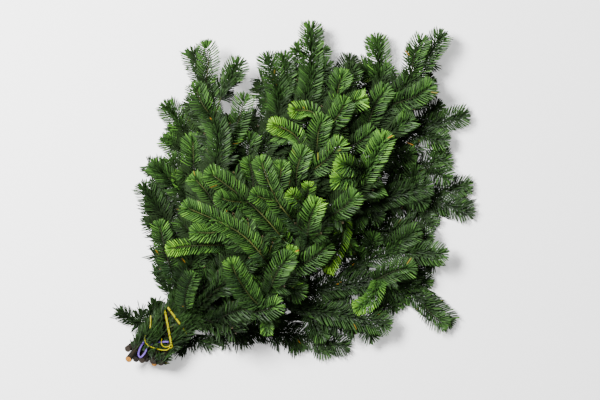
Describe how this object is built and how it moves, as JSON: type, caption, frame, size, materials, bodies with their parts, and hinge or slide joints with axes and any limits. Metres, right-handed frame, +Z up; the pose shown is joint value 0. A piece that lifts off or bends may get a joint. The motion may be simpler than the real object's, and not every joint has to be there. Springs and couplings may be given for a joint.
{
  "type": "fir branch",
  "caption": "Bunch of cut fir branches fanned out flat, their bare butts gathered and tied with a yellow strap, with a lilac ribbon among the butts.",
  "frame": {"origin": "middle of the footprint, on the surface the bunch lies on", "axes": "+X from the tied butts to the tips, +Y across the fan, +Z up from the surface"},
  "size_m": [0.6399, 0.5439, 0.1206],
  "materials": {
    "bark": "rough brown bark",
    "needles": "satin green fir needles",
    "yellow_strap": "smooth yellow plastic strap",
    "lilac_ribbon": "smooth lilac ribbon"
  },
  "bodies": {
    "root": {"bottom_edge_inner": "needles", "bottom_edge_leader": "needles", "bottom_edge_outer": "needles", "bottom_edge_stem": "bark", "bottom_far": "needles", "bottom_leader": "needles", "bottom_near": "needles", "bottom_stem": "bark", "centre_leader": "needles", "centre_left": "needles", "centre_lime_left": "needles", "centre_near_tie": "needles", "centre_right": "needles", "centre_stem": "bark", "left_back_butt_spray": "needles", "left_back_edge": "needles", "left_back_inner": "needles", "left_back_leader": "needles", "left_back_stem": "bark", "left_edge_inner": "needles", "left_edge_leader": "needles", "left_edge_low": "needles", "left_edge_stem": "bark", "lilac_ribbon": "lilac_ribbon", "lower_middle_leader": "needles", "lower_middle_left": "needles", "lower_middle_right": "needles", "lower_middle_stem": "bark", "lower_right_leader": "needles", "lower_right_left": "needles", "lower_right_right": "needles", "lower_right_stem": "bark", "top_left_back_turned": "needles", "top_left_fifth": "needles", "top_left_first": "needles", "top_left_fourth": "needles", "top_left_leader": "needles", "top_left_second": "needles", "top_left_stem": "bark", "top_left_third": "needles", "top_right_leader": "needles", "top_right_lime_left": "needles", "top_right_lime_right": "needles", "top_right_low": "needles", "top_right_stem": "bark", "upper_left_leader": "needles", "upper_left_left": "needles", "upper_left_low": "needles", "upper_left_right": "needles", "upper_left_stem": "bark", "upper_middle_leader": "needles", "upper_middle_left": "needles", "upper_middle_right": "needles", "upper_middle_stem": "bark", "upper_right_leader": "needles", "upper_right_left": "needles", "upper_right_right": "needles", "upper_right_stem": "bark", "yellow_strap": "yellow_strap"}
  },
  "joints": []
}
